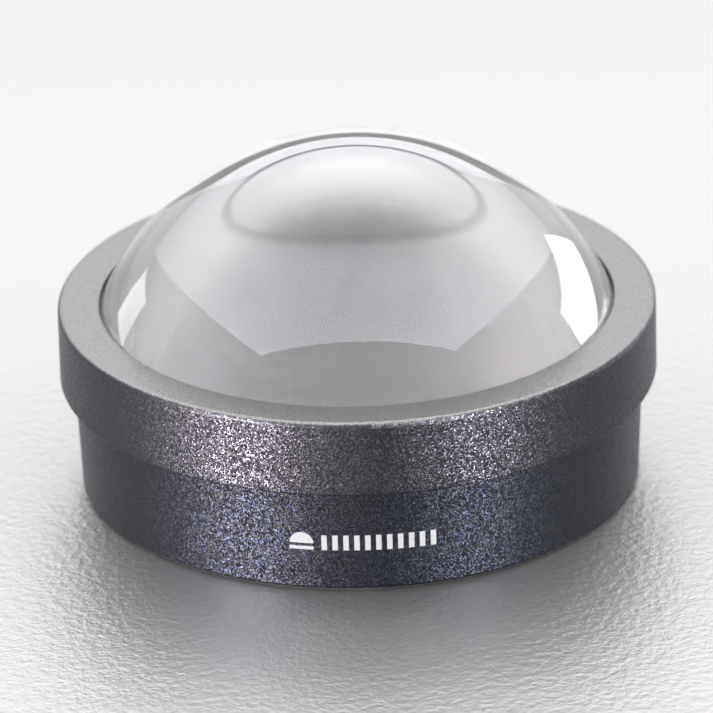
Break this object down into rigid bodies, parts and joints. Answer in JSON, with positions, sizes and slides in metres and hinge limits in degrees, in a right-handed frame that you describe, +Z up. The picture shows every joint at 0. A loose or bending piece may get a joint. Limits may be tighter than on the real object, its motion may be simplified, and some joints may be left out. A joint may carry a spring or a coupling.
{
  "type": "dome magnifier",
  "caption": "Free-standing low vision magnifier: a thick clear domed lens held in a two-tier dark ring that glides over a page on a felt foot.",
  "frame": {"origin": "centre of the foot ring on the resting plane", "axes": "+Z up along the lens' optical axis, -Y towards the reader and the printed mark"},
  "size_m": [0.0766, 0.0766, 0.0448],
  "materials": {
    "lens_acrylic": "polished clear acrylic, refractive index 1.49",
    "flake_lacquer": "dark blue-grey metallic flake over finely textured plastic, satin; the sleeve's bore is pale and unpainted",
    "soft_black": "matte soft elastomer",
    "soft_pale": "pale translucent elastomer, matte",
    "adhesive": "double-sided adhesive film",
    "felt": "pressed wool felt",
    "white_ink": "pad-printed white ink"
  },
  "bodies": {
    "root": {"dome_lens": "lens_acrylic", "grip_collar": "flake_lacquer", "base_sleeve": "flake_lacquer", "lens_gasket": "soft_black", "seat_cushion": "soft_pale", "foot_adhesive": "adhesive", "foot_ring": "felt", "side_mark": "white_ink"}
  },
  "joints": []
}
